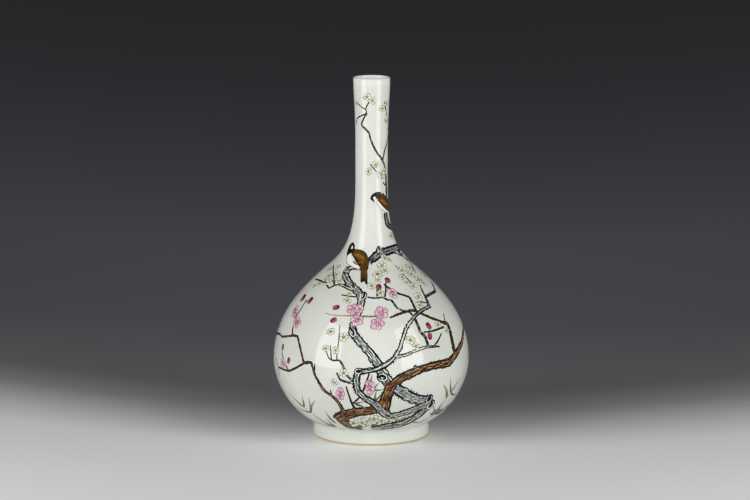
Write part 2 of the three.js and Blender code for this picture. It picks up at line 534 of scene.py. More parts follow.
def flower(kind, centre, size, degrees, open_, seed):
    # round petals with fine outlines about a tuft of stamens; open_ under 1 shows it from the side
    draw = random.Random(seed * 7 + int(size * 10))
    form = blossoms[kind]
    base = form["base"]
    tilt = math.radians(degrees)

    def place(a, distance):
        # a point of the flower, foreshortened across its own up direction
        x, y = math.cos(a) * distance, math.sin(a) * distance * open_
        return beside(centre, x * math.sin(tilt) + y * math.cos(tilt), -x * math.cos(tilt) + y * math.sin(tilt))

    start = draw.uniform(0, math.tau)
    for k in range(petal["count"]):
        a = start + math.tau * k / petal["count"] + draw.uniform(-0.12, 0.12)
        inner, outer = place(a, size * petal["root"]), place(a, size * draw.uniform(*petal["tips"]))
        right, up = stepBetween(inner, outer)
        reach = max(math.hypot(right, up), size * 0.2)
        heading = math.degrees(math.atan2(up, right))
        middle = place(a, size * petal["middle"])
        width = size * petal["width"] * draw.uniform(0.8, 1.06) * (0.72 + 0.28 * open_)
        top = base + 0.008 * k
        dab(kind + "_petals", middle, reach, width, heading, top, shape=petalShape, tone=draw.random())
        loopLine(kind + "_lines", away(middle, heading, size * 0.02), reach * 0.96, width, heading,
                 size * form["line"], top + 0.03, top + 0.005)
        for turn in (-14, 10):
            vein = away(inner, heading + turn, reach * form["vein"])
            stroke(kind + "_lines", [away(inner, heading + turn, reach * 0.2), vein], [size * 0.02, 0.06], top + 0.045,
                   top + 0.02, step=1.0)
    top = base + 0.085
    dab("flower_hearts", centre, size * form["heart"], size * form["heart"] * open_, degrees, top, across=3)
    for k in range(form["stamens"]):
        a = math.tau * k / form["stamens"] + draw.uniform(-0.2, 0.2)
        root, tip = place(a, size * 0.05), place(a, size * form["reach"] * draw.uniform(0.65, 1))
        stroke(kind + "_stamens", [root, tip], [size * form["thread"]], top, top - 0.04, 3, size * 0.08, 0.01)
        dab(kind + "_stamens", tip, size * form["tip"], size * form["tip"], 0, top + 0.015, top - 0.02, across=3)
    if kind == "white":
        # a green heart; the sepia ticks of the cup show at two sides, and a green shadow under a petal
        dab("bud_cups", away(centre, 200, size * 0.06), size * 0.2, size * 0.14, degrees + 40, top + 0.01, top,
            across=3)
        a = draw.uniform(0, math.tau)
        for turn in (-0.35, 0.1, 2.2, 2.7):
            stroke("cup_ticks", [place(a + turn, size * 0.38), place(a + turn * 0.9, size * 0.62)],
                   [size * 0.085, size * 0.03], base + 0.07, base, step=0.8)
        stroke("white_shadows", [place(a + 2, size * 0.2), place(a + 2.4, size * 0.36), place(a + 3, size * 0.42)],
               [size * 0.05, size * 0.11, size * 0.03], top - 0.01, base + 0.02, step=0.8)


def bud(centre, size, degrees):
    # a closed bud: two tight petals over a small cup
    base = blossoms["pink"]["base"]
    dab("rose_buds", centre, size, size * 0.8, degrees, base, shape=[0.3, 0.8, 1, 1, 0.92, 0.74, 0.3], crown=0.06)
    dab("rose_buds", away(centre, degrees + 50, size * 0.14), size * 0.62, size * 0.42, degrees + 12, base + 0.05,
        base + 0.02, tone=0.4)
    for turn in (-38, 0, 38):
        foot = away(centre, degrees + 180 + turn * 0.8, size * 0.44)
        dab("bud_cups", foot, size * 0.3, size * 0.18, degrees + turn, base + 0.06, base, across=3)


def leaf(root, tip, width, bend, tone):
    # a bamboo blade from its root to its long point, with a darker midrib
    right, up = stepBetween(root, tip)
    middle = beside(root, right * 0.45 - up * bend, up * 0.45 + right * bend)
    length = math.hypot(right, up)
    stroke("bamboo_leaves", [root, middle, tip], [width * s for s in bladeShape], 0.07, 0, 4, length / 14, ease=1.0,
           tone=tone)
    rib = beside(root, right * 0.66 - up * bend * 0.9, up * 0.66 + right * bend * 0.9)
    stroke("bamboo_stems", [root, middle, rib], [0.32, 0.28, 0.1], 0.11, 0.07, step=1.5, ease=1.0)


def growLimbs(tree, rows, lay=drawn):
    # each row is a limb: its route, its widths, its level, its seed and what else is special about it
    for points, widths, level, seed, *special in rows:
        limb(tree, lay(points), widths, level, seed, **(special[0] if special else {}))


def growTwigs(tree, rows, lay=drawn):
    # each row is a twig: its route, its widths, its level and whether it is lit
    for points, widths, *more in rows:
        twig(tree, lay(points), widths, *more)


def paintGreyTree():
    # the grey trunk climbs from the knobs at the lower right to the perch of the bird
    growLimbs("grey_tree", [
        # the trunk
        ([(-12.8, 164.8), (-18.6, 165.6), (-23.4, 164), (-25.8, 159.5), (-24.3, 154.5), (-20, 148.5), (-13.8, 142.5),
          (-9.8, 137), (-10, 130), (-12, 121), (-15.4, 114), (-18, 108.5), (-18.2, 101), (-14.6, 95.4), (-9, 89.4),
          (-4, 83.6), (1, 77.4), (6.2, 69.8), (10.4, 62), (15, 54), (22, 47)],
         [2.4, 5.6, 7, 7.2, 7.4, 7.4, 7.8, 8.4, 7.8, 6.4, 5.6, 6, 8.4, 8.6, 7.6, 7.8, 8.6, 9.4, 10.4, 10.8, 10.4], 0,
         11),
        ([(19, 50), (22, 47), (28.4, 42.4), (35.4, 38), (42, 34.8), (50, 33), (57, 33)],
         [10.8, 11, 11, 11, 11, 10.6, 10], 1, 19, {"tone": 0.6, "bold": 1.15, "barbs": 1.7}),
        ([(-2.5, 170.6), (2, 174.6), (8, 179), (14, 181), (20, 183.2), (26, 185.2), (30, 186.6)],
         [6.5, 8.8, 9.2, 9.2, 8.8, 8.6, 7], 0, 12, {"tone": 0.3, "bold": 1.4, "lit": False}),
        ([(7.2, 180), (7.6, 184), (10.4, 185.2)], [5, 4.4, 2], 0, 17),
        # the root that climbs round the brown trunk
        ([(57, 29), (48, 25.4), (37.5, 21.4), (26, 18), (16.9, 17.2), (10.6, 22.2), (5.2, 28), (-1.5, 32.1),
          (-8.3, 36.8), (-13.6, 43.4), (-15, 49.8), (-14.4, 56), (-12.4, 61), (-4, 62), (2, 63), (9.5, 65.2),
          (18.9, 70.8), (24.3, 76.2)],
         [10, 8.6, 8.2, 7.6, 8.6, 8.6, 8, 7, 6.4, 6.4, 6.8, 6.8, 6.2, 5, 4.6, 5, 4.4, 3.8], 6, 13, {"tone": 0.45}),
        ([(24.3, 76.2), (28.9, 84.6), (31.5, 93), (35.7, 105.5), (43, 115.8), (47, 119.8)],
         [4.2, 3.8, 3.7, 3.6, 3.4, 3], 3, 14, {"pale": True}),
        ([(40.4, 112.6), (45, 118), (50.3, 122.4), (55, 124.8), (60, 127)],
         [2.6, 3.6, 3.7, 3.6, 2.8], 4, 34, {"tone": 0.5, "lit": False}),
        ([(26, 76), (37, 79), (44, 82), (53, 85.4), (58, 86.2)], [3.4, 3, 2.8, 2.8, 1.8], 3, 15, {"pale": True}),
        ([(60, 28), (54.7, 24), (46.6, 17.4), (35.2, 10.9), (23.7, 7.4), (12.3, 5.7), (1.4, 3.8)],
         [9, 10.6, 13, 14.6, 15.6, 15, 8], 6, 16, {"tone": 0.3, "bold": 2}),
        ([(-17.6, 143), (-23.6, 145.4), (-28, 147.6), (-32, 148.6), (-36, 148)], [4, 3.8, 3.2, 2.4, 1.6], 1, 18),
    ])
    growTwigs("grey_tree", [
        ([(54, 86), (60, 86.4), (69, 86.6)], [1.6, 2.2, 0.8], 4, False),
        ([(58.6, 126), (57.4, 130), (54.7, 136.3), (59.6, 139.4), (64.2, 142.1), (62.6, 147), (60.2, 151.7)],
         [3, 2.8, 2.8, 2.6, 2.6, 2.2, 1.3], 1, False),
        ([(54.7, 136.3), (51.6, 142), (48.9, 148.7)], [2.2, 1.9, 1.1], 1),
        ([(57, 130), (51, 131.2), (44.5, 130.8)], [1, 0.8, 0.5], 1),
        ([(-4, 136), (4, 135), (11.5, 135.8), (15.9, 133.7), (21, 132.4), (26, 125.5), (32, 122.4), (38.6, 121),
          (43, 116.5)],
         [1.6, 1.6, 1.6, 1.8, 1.9, 2, 1.8, 1.8, 1.9]),
        ([(43, 116.5), (46.5, 109), (49.6, 101), (54, 96.7), (56, 91.5), (57.9, 86)],
         [2.7, 2.7, 2.9, 3, 2.8, 2.6], 0, False),
        ([(63, 86.6), (67, 92), (70.9, 100.3)], [1.5, 1.2, 0.6]),
        ([(-34, 148.4), (-37.6, 147.2), (-42.1, 145.2), (-44.8, 148.4)], [1.8, 1.6, 1.5, 0.7], 1),
        ([(-36.6, 148), (-37, 156), (-37.9, 162), (-37.3, 168.5)], [1.4, 1.1, 0.9, 0.5], 6),
        ([(-55.8, 154.2), (-51.8, 153), (-47.8, 151), (-44, 150)], [0.8, 1.2, 1.1, 0.6], 6),
        ([(-12, 136.2), (-20.8, 136.8), (-30.3, 138.5)], [1.4, 1, 0.5]),
        ([(-15, 50.5), (-21, 50), (-27, 51.6), (-31, 53.4), (-34.7, 60.7)], [3, 2.2, 1.8, 1.5, 0.7], 1),
        ([(-15, 54), (-19, 53.2), (-23, 56), (-26.7, 63.7), (-28.6, 68.4), (-31.8, 72.5), (-39.1, 72.7),
          (-42.8, 75.6), (-45, 82.7)],
         [2.8, 2.2, 1.7, 1.5, 1.5, 1.3, 0.9, 0.6, 0.3], 1),
        ([(-39.6, 73), (-40.3, 80), (-40.8, 88.6)], [0.8, 0.5, 0.2]),
        ([(-34.5, 73), (-33.4, 84), (-32.4, 92), (-31, 109)], [0.6, 0.4, 0.3, 0]),
        ([(23.7, 182.6), (28.6, 181), (32.4, 178.6)], [3, 2.6, 1.8]),
        ([(23.4, 168.6), (27.4, 164.6), (31.5, 159.4), (35.7, 155.3), (40.8, 150)], [0.2, 0.4, 0.8, 1.1, 0.6]),
        ([(38.6, 171.5), (42, 165.6), (45.2, 159.7)], [0.7, 1, 0.6]),
    ])
    for x, y, size, degrees, level, slim in (
            (-24.6, 163.4, 6.6, 50, 1, 0.62), (-26.4, 158.6, 6.4, 110, 1, 0.66), (-17.4, 146.4, 6.4, 120, 1, 0.8),
            (-8, 136.8, 10, 68, 1, 0.56), (-18.4, 100.6, 10.4, 112, 1, 0.58), (8.4, 184, 6, 100, 1, 0.7),
            (11.6, 55.6, 10.6, 165, 1, 0.78), (58.2, 34, 9.6, 80, 7, 0.8), (59.6, 28, 12, 90, 7, 0.7),
            (54.4, 24.4, 6.4, 20, 7, 0.7), (-12.6, 61.6, 7.6, 8, 7, 0.72), (5.4, 29.4, 5, 140, 7, 0.6),
            (17.4, 17.2, 8, 150, 7, 0.7), (3, 4.9, 7, 120, 7, 0.6), (47.4, 18.4, 6, 60, 7, 0.6),
            (-15.4, 41, 4.8, 100, 7, 0.6), (23.6, 74.2, 4.4, 40, 5, 0.7), (35.4, 105.8, 3.8, 70, 5, 0.6),
            (27.4, 124.4, 2.8, 140, 5, 0.7), (42.6, 116.4, 3.2, 50, 5, 0.7), (56.4, 126.6, 4.2, 30, 5, 0.7),
            (49.4, 102.2, 3.6, 120, 5, 0.7), (56.8, 86.6, 4.2, 100, 5, 0.7)):
        knot("grey_tree", seen(x, y), size, degrees, level, slim, level < 7)


def paintBrownTree():
    # the brown trunk leaves the ground at the left, crosses the grey one and sweeps up the right side
    growLimbs("brown_tree", [
        ([(-32.4, 15), (-26.6, 10.8), (-21, 7.2), (-15, 4.6), (-8.4, 3)],
         [7, 13, 15, 10, 3], 0, 22, {"tone": 1.2, "bold": 1.5}),
        ([(-34.8, 13.2), (-30.6, 16), (-23, 18.4), (-14, 20.6), (-6, 21.6), (4, 22.8), (9, 24.5)],
         [8, 12.6, 12.4, 11.4, 10.6, 9.8, 9], 1, 21, {"tone": 0.9, "bold": 1.2}),
        # the trunk
        ([(10, 19), (13.4, 27), (15, 34), (17.4, 41), (21, 47.4), (29.4, 54.4), (42, 60.4), (54, 65), (66, 68.2),
          (77.6, 70.4), (84, 77.6), (88.6, 85), (91.4, 92.6), (92.4, 101), (92.6, 110)],
         [12.6, 11.8, 11.2, 10.6, 9, 8.4, 8.6, 7, 7.4, 8.2, 7, 6, 4.8, 3.8, 2.2], 4, 23),
        ([(84.4, 79.4), (82.4, 87), (79.8, 99.5), (77, 108.6), (72.3, 110.6), (63.5, 114), (53.3, 118.4),
          (45.9, 121.6), (40, 122.6), (29.8, 119.6), (18.8, 115.2)],
         [5.2, 4.8, 4.4, 4.4, 3.4, 2.8, 2.7, 2.9, 2.7, 2.4, 1.8], 2, 24, {"tone": 0.1, "lit": False}),
        # the long branch at the left
        ([(-26, 19.6), (-28.9, 24), (-32.6, 30), (-37.7, 35.8), (-43, 39.4), (-48, 43.6), (-52, 50), (-56, 57.6),
          (-60.2, 70.6), (-67, 70.2), (-69.6, 80), (-72.8, 94), (-74.2, 97), (-78.8, 97.5), (-86, 96.6), (-89, 96.4),
          (-92, 100.4)],
         [4.8, 4, 3.4, 3.2, 3.2, 3.4, 2.8, 2.6, 2.6, 2.6, 2.3, 2.3, 2.3, 2.1, 1.9, 1.7, 1], 2, 25, {"ease": 0.4}),
    ])
    growTwigs("brown_tree", [
        ([(45.4, 121.6), (42.6, 128), (39.4, 134.6), (37.4, 136.6), (26, 140.2), (18, 145), (12.6, 149)],
         [2.4, 2.2, 2.2, 2, 2, 1.7, 1], 1),
        ([(73.3, 106.4), (62, 102.2), (52.5, 100.7)], [1.6, 1.3, 0.8], 1),
        ([(75, 109), (73.4, 115), (72.8, 120)], [1.2, 0.9, 0.5], 1),
        ([(14.6, 151), (14.8, 143), (14, 135.8)], [0.8, 1.1, 1.2], 1),
        ([(6.4, 145), (6, 136.4)], [0.9, 1.2], 1),
        ([(-78.6, 98), (-78.4, 105), (-75.4, 115.6), (-71.2, 122.6), (-65.6, 131.6)], [1.7, 1.5, 1.4, 1.2, 0.8]),
        ([(-67, 70), (-75, 65.2), (-82.4, 62), (-93, 66)], [2, 1.8, 1.8, 1.1]),
        ([(-82.4, 62), (-87, 72), (-89.2, 80), (-88.6, 86)], [1.3, 1.1, 0.9, 0.6]),
        ([(-95.2, 75), (-93, 66), (-91.4, 56)], [0.5, 0.7, 0.3]),
        ([(-56.4, 62), (-56.6, 69.6)], [1.4, 0.5]),
        ([(-39.4, 37), (-40.8, 43.2)], [1.4, 0.5]),
        ([(-16.4, 24), (-20, 31.4), (-22.6, 39), (-25.2, 47)], [2.4, 1.9, 1.4, 0.7]),
        ([(-18.4, 29), (-13, 34), (-9.8, 38)], [1.8, 1.4, 0.9]),
        ([(-8.6, 40), (-5, 50), (-1.6, 60)], [1.5, 1.3, 1]),
    ])
    pale = drawn([(-46.5, 120.2), (-40, 118.4), (-33.3, 117.6), (-19.4, 117.4), (-1, 116.6), (12, 117.2)])
    twig("brown_tree", pale, [0, 0.2, 0.5, 0.8, 1, 0.8], 1)
    stroke("brown_tree_lights", pale, [0.5, 0.8, 0.9, 0.8, 0.5, 0.3], 0.12, 0.05, ease=0.35)
    for x, y, size, degrees, level in (
            (16.2, 48.4, 6.6, 10, 5), (-32.6, 14.8, 5.6, 160, 2), (-23.8, 14.6, 3.6, 30, 2), (44, 66.4, 3.6, 30, 5),
            (78.2, 70.6, 4.4, 70, 5), (84, 79.4, 4.2, 120, 5), (89, 84.4, 3.4, 60, 5), (76, 109.8, 4.8, 120, 3)):
        knot("brown_tree", seen(x, y), size, degrees, level)


def paintNeckSprig():
    # the branch on the neck, which passes behind the upper bird
    limb("grey_tree", drawn([(21.4, 204.4), (18.8, 206.8), (16.6, 209.6), (15.8, 213.4), (15.4, 217), (15.2, 221)]),
         [5, 6.6, 7.4, 7.4, 7, 5.6], 0, 31, tone=0.0, bold=1.6, lit=False)
    fork = seen(21.4, 204.4)
    limb("grey_tree", [fork, beside(fork, 3, -5), beside(fork, 3, -11), beside(fork, -2, -18)],
         [5, 5.6, 5.6, 5], 0, 32, tone=0.1, lit=False)
    growTwigs("grey_tree", [
        ([(13, 269.6), (14.3, 265), (15, 258), (15.5, 248), (15.8, 238), (16, 232)],
         [1.4, 2, 2.6, 3.4, 3.6, 3.6], 0, False),
        ([(11.8, 251), (14, 248.4), (16, 245.6)], [0.5, 0.9, 1]),
        ([(-1.4, 269.3), (1.6, 265.6), (6.1, 260.6)], [0.1, 0.4, 0.3]),
        ([(13.4, 268.4), (10.6, 274.5), (5.9, 280.4), (2.4, 286.9), (-0.5, 293.9), (-2, 299.8), (-5.2, 303.4),
          (-8.8, 306.9), (-9.4, 309.2), (-7.9, 313.4), (-4.6, 319.2)],
         [1.7, 1.6, 1.4, 1.6, 1.2, 1.4, 1.9, 1.4, 1.4, 1.1, 1.5]),
        ([(11.8, 273), (14, 283), (16.2, 291)], [1.6, 1.5, 0.9]),
        ([(-4.6, 319.2), (-5.2, 323.4), (-4.9, 325.7), (-2.3, 330.4), (-1, 334)], [0.9, 0.5, 0.7, 0.6, 0.2]),
        ([(-3.2, 319.8), (-9.4, 317.5), (-14.1, 314.5), (-14.9, 308)], [1.2, 1, 0.9, 0.3]),
        ([(-5.2, 323.4), (-9.4, 325.7), (-12.9, 329.2), (-14.4, 331.5)], [0.5, 0.5, 0.6, 0.1]),
        ([(13.2, 331.4), (14.8, 326), (15.8, 316)], [0.4, 0.8, 0.7]),
    ])


def paintBlossoms():
    # pink blossoms and buds hang on the brown tree, white ones on the grey tree
    for x, y, size, degrees, open_, seed in (
            (-18.4, 123.6, 13, 60, 0.95, 1), (-11.4, 124.4, 9, 30, 0.8, 12), (-13.9, 112.8, 13.5, 100, 0.9, 2),
            (10.7, 120.2, 14, 80, 1, 3), (6.3, 109.2, 14, 110, 0.9, 4), (21.7, 140, 13.5, 20, 0.62, 5),
            (-1.2, 45.4, 16, 8, 0.5, 6), (-30.8, 38.8, 14.5, 165, 0.6, 7), (-76, 121.6, 15, 50, 0.6, 8),
            (-74.4, 110.6, 14, 70, 0.75, 9), (-88, 69.6, 13, 80, 0.8, 10), (-92, 107, 14, 90, 0.8, 11)):
        flower("pink", seen(x, y), size, degrees, open_, seed)
    for x, y, size, degrees in (
            (-34.8, 125.7, 7.4, 20), (-37.7, 112.8, 7.2, 215), (16.6, 153, 7.2, 100), (7.8, 146.2, 7.4, 80),
            (57.7, 107.3, 7.8, 110), (59, 96.7, 7.4, 250), (-88.4, 86, 6.4, 90), (-82.6, 72.6, 6.8, 60),
            (-67.8, 135.6, 9, 110), (-60.8, 133, 8.2, 80), (-74, 110.4, 6.4, 60), (-76.4, 121.6, 6, 55)):
        bud(seen(x, y), size, degrees)
    dab("bud_cups", seen(-65.2, 132), 4.4, 4, 100, 0.1)
    whites = (
        (13.7, 175, 7.5, 60, 0.8), (11, 167.4, 8, 90, 1), (18, 173.6, 6, 40, 0.7), (6.6, 159, 8.5, 120, 0.9),
        (13.6, 162.6, 7, 60, 0.8), (0.6, 147.4, 7.5, 90, 0.9), (9.6, 140, 6.5, 80, 0.8), (7, 153, 6, 30, 0.8),
        (31.3, 162.7, 7.5, 60, 1), (31.3, 156, 7, 100, 0.8), (38.6, 165.6, 8, 80, 1), (47.6, 153.6, 8.5, 70, 0.9),
        (42.3, 147, 8, 100, 1), (40, 158.6, 7.5, 60, 0.9), (53.4, 158, 7, 45, 0.7), (36, 150.6, 6, 60, 0.7),
        (47.6, 136.6, 8, 90, 1), (48.6, 128, 7.5, 240, 0.8), (52.6, 150, 6, 30, 0.7), (-42, 157.4, 8, 90, 0.9),
        (-34.6, 158.6, 7.5, 40, 0.9), (-46, 151.8, 8, 120, 1), (-51.4, 149.6, 7, 100, 0.8),
        (-56.4, 147.4, 6, 130, 0.6), (-33.4, 166, 7, 60, 0.8), (-41.4, 164, 6.5, 110, 0.7), (-38.4, 152.4, 7, 60, 0.9),
        (-31, 152.6, 6, 60, 0.8), (-22, 139, 5, 90, 0.7), (-23.6, 132.8, 7, 250, 0.8), (-40.4, 101.4, 7.4, 100, 0.8),
        (-27.4, 96, 8.2, 60, 0.9), (-45.5, 84.6, 6.2, 90, 0.9), (-35.4, 82.6, 6.4, 80, 0.9), (-27.6, 60, 7.4, 90, 0.9),
        (-36.6, 50.4, 6.4, 120, 0.9), (39.6, 93, 8, 90, 0.9), (45.2, 86.6, 7.2, 60, 0.9), (67.2, 108.6, 7.5, 90, 0.8),
        (76, 102.6, 6.5, 60, 0.8), (-17.6, 9.6, 8, 90, 0.8), (-8.6, 10, 7.5, 60, 0.8), (2.8, 13.4, 8, 90, 0.9),
        (10.5, 11.8, 8, 60, 0.8), (18, 11.6, 7.5, 100, 0.8), (25.8, 12.8, 7.5, 80, 0.8), (33.5, 15, 7, 60, 0.7),
        (40.4, 16.6, 6.5, 80, 0.7), (-4, 336, 7, 100, 0.8), (1.5, 332.5, 6.5, 60, 0.9), (11.5, 324.5, 6.5, 80, 0.8),
        (15.5, 329, 6, 60, 0.7), (15.5, 312, 6, 90, 0.8), (-15, 329.6, 4.6, 90, 0.8), (-2.5, 261.5, 6.5, 150, 0.8),
        (5, 268.5, 6.5, 80, 0.8), (10.5, 258.5, 7, 60, 1), (14, 262, 6, 40, 0.7), (20.5, 197, 7, 90, 0.8))
    for i, (x, y, size, degrees, open_) in enumerate(whites):
        if y < 18:
            # the wall leans far over down there, so a blossom is drawn twice as tall as wide
            flower("white", seen(x, y), size * 1.05, 90, 2, 40 + i)
        else:
            flower("white", seen(x, y), size * 1.16, degrees, open_, 40 + i)


def paintBamboo():
    # slender blades in tufts round the foot of the painting: each has its root and its tips on the sheet
    tufts = (
        ((-67, 25.6), [(-82.7, 41.7, 2.2), (-69.3, 37.9, 2.4)]),
        ((-60.1, 20.3), [(-62.4, 36, 2.6), (-55.5, 33.3, 2.4), (-75, 26.4, 2.2)]),
        ((-34.4, 5.7), [(-45, 14.4, 2.8), (-59, 18.7, 2.6), (-46, 8.8, 2.4), (-57.4, 11.8, 2), (-50, 10.4, 2)]),
        ((-35.4, 9.4), [(-46, 22.4, 2.6), (-43, 15.4, 2)]),
        ((75.6, 34.8), [(72.1, 49, 3.2)]),
        ((79.8, 40.2), [(79.4, 56.2, 2.4), (90.1, 56.2, 2.6), (86, 38.6, 2)]),
        ((64.9, 19.5), [(72.5, 32.5, 3.2), (84.8, 32.5, 2.6), (58.7, 19.5, 2.2), (62, 29, 2)]),
        ((-12.2, 4.7), [(-1.5, 14.9, 2.6), (-6, 16.4, 2.2), (4, 8.4, 2)]),
        ((-16.4, 28.7), [(-5.3, 24.9, 2.6), (-7.4, 31, 1.6)]),
        ((4, 32), [(6.4, 45, 1.7), (13.6, 44.4, 1.9), (-2.6, 38, 1.5)]),
        ((2.5, 43), [(12.4, 43.4, 1.6), (8.4, 50.6, 1.4)]), ((-0.6, 49), [(1.6, 59, 1.5)]),
        ((-10.6, 5), [(0.4, 14.6, 2.6)]), ((0.8, 6.3), [(4.6, 16, 3), (12, 12, 2.4)]),
        ((48, 10), [(58, 15, 2.2), (36, 13, 2)]), ((14, 7.6), [(8, 16, 2.4), (20.4, 16.4, 2.6)]),
        ((27, 9.4), [(20.6, 17, 2.2), (31.6, 18.4, 2.4)]), ((36, 12.4), [(42.4, 20, 2.2), (29.6, 17.6, 2)]),
    )
    for i, (root, blades) in enumerate(tufts):
        for j, (x, y, width) in enumerate(blades):
            leaf(seen(*root), seen(x, y), width * 1.25, (0.05, -0.06, 0.04)[(i + j) % 3], ((i * 3 + j * 5) % 7) / 6)
    stroke("bamboo_stems", drawn([(48, 10), (64.9, 19.5), (75.6, 34.8), (79.8, 40.2)]), [0.9, 0.9, 0.7, 0.6], 0.06)
    stroke("bamboo_stems", drawn([(-34.4, 5.7), (-48, 12), (-60.1, 20.3), (-67, 25.6)]), [0.8, 0.6, 0.5, 0.5], 0.06)


# Two poses of the same finch, in mm from the middle of its body
finches = {
    "perched": {
        "breast": ([(-9, 7), (-8.8, 1.4), (-6.2, -2), (-1.6, -5.2), (3, -7.4)], [4, 6.2, 6.6, 5, 2]),
        "rim": ([(-10.9, 4.6), (-11.9, 1.2), (-10.6, -2.4), (-8, -4.4), (-3.8, -7), (2.6, -9)],
                [0.3, 0.4, 0.45, 0.45, 0.4, 0.2]),
        "back": ([(-5.4, 9.2), (-1.6, 7.6), (2.4, 4.4), (4.8, -0.6), (5.8, -6), (6, -9.4)],
                 [4, 8.6, 12.4, 11.6, 8.4, 6.4]),
        "shine": ([(-3.8, 7), (0, 5.2), (3, 2.2), (4.6, -1), (4.8, -4)], [2, 5.6, 6.4, 4.6, 1.6]),
        "hood": ([(-4.6, 17.8), (-6.6, 16.3), (-8.3, 13.7), (-9.2, 10.8), (-9.7, 8.2), (-10.3, 6)],
                 [3.2, 4.2, 4.5, 4.7, 4.6, 2.8]),
        "nape": ([(-4.9, 17.2), (-4.2, 14.8), (-4.5, 12.6), (-4, 10.2)], [2.4, 2.4, 2.4, 3]),
        "collar": ([(-9.4, 9.4), (-6.8, 10), (-3.6, 10)], [4.2, 4.8, 4.6]),
        "cheek": ([(-5.7, 15.4), (-6.1, 13.8), (-6.2, 12.5)], [0.7, 1.4, 0.7]),
        "eye": [(-8, 12.2), (-7.2, 12)],
        "beak": ([(-10, 7.6), (-10.9, 5.8), (-11.8, 4)], [2.5, 1.7, 0.3]),
        "wing": ((-3.4, 7.4), (9.2, -5.2), (1.2, -5.6), 6.6, 9),
    },
    "bowed": {
        "breast": ([(-8, 6), (-7.6, 1.6), (-6, -3.6), (-3, -9), (0, -12)], [1.6, 3.4, 3.8, 3.4, 1.6]),
        "rim": ([(-9, 7), (-9.4, 1), (-7.8, -4.6), (-4.4, -10.4)], [0.2, 0.35, 0.35, 0.2]),
        "back": ([(-2.2, 10.2), (-2.6, 6), (-1.6, 1.8), (0.4, -3), (2.6, -7), (4, -10.4)], [7, 9.4, 10.8, 12, 12, 9]),
        "shine": ([(-4.4, 6), (-2.8, 2.6), (-1, -1), (1, -4.4)], [1.4, 3.8, 4.4, 1.4]),
        "hood": ([(-1.4, 10), (-4.2, 12.6), (-6.9, 13.4), (-9, 12.7), (-10.2, 11.1), (-10, 9.4)],
                 [4.4, 4, 3.2, 3, 2.8, 2]),
        "nape": ([(-6.8, 13), (-6.3, 11), (-6.7, 8.6)], [1.6, 2, 1.8]),
        "collar": ([(-6, 9), (-4.4, 9), (-2, 8.6)], [2.4, 4, 4.4]),
        "cheek": ([(-8.8, 11.9), (-8.4, 11), (-8.2, 9.8)], [1, 1.7, 1]),
        "eye": [(-8.9, 12.7), (-8.2, 12.9)],
        "beak": ([(-9.9, 9.4), (-10.5, 8.2), (-10.6, 7)], [1.8, 1.2, 0.3]),
        "wing": ((-6, 6), (6.4, 0.8), (-1, -7), 6.4, 5),
    },
}


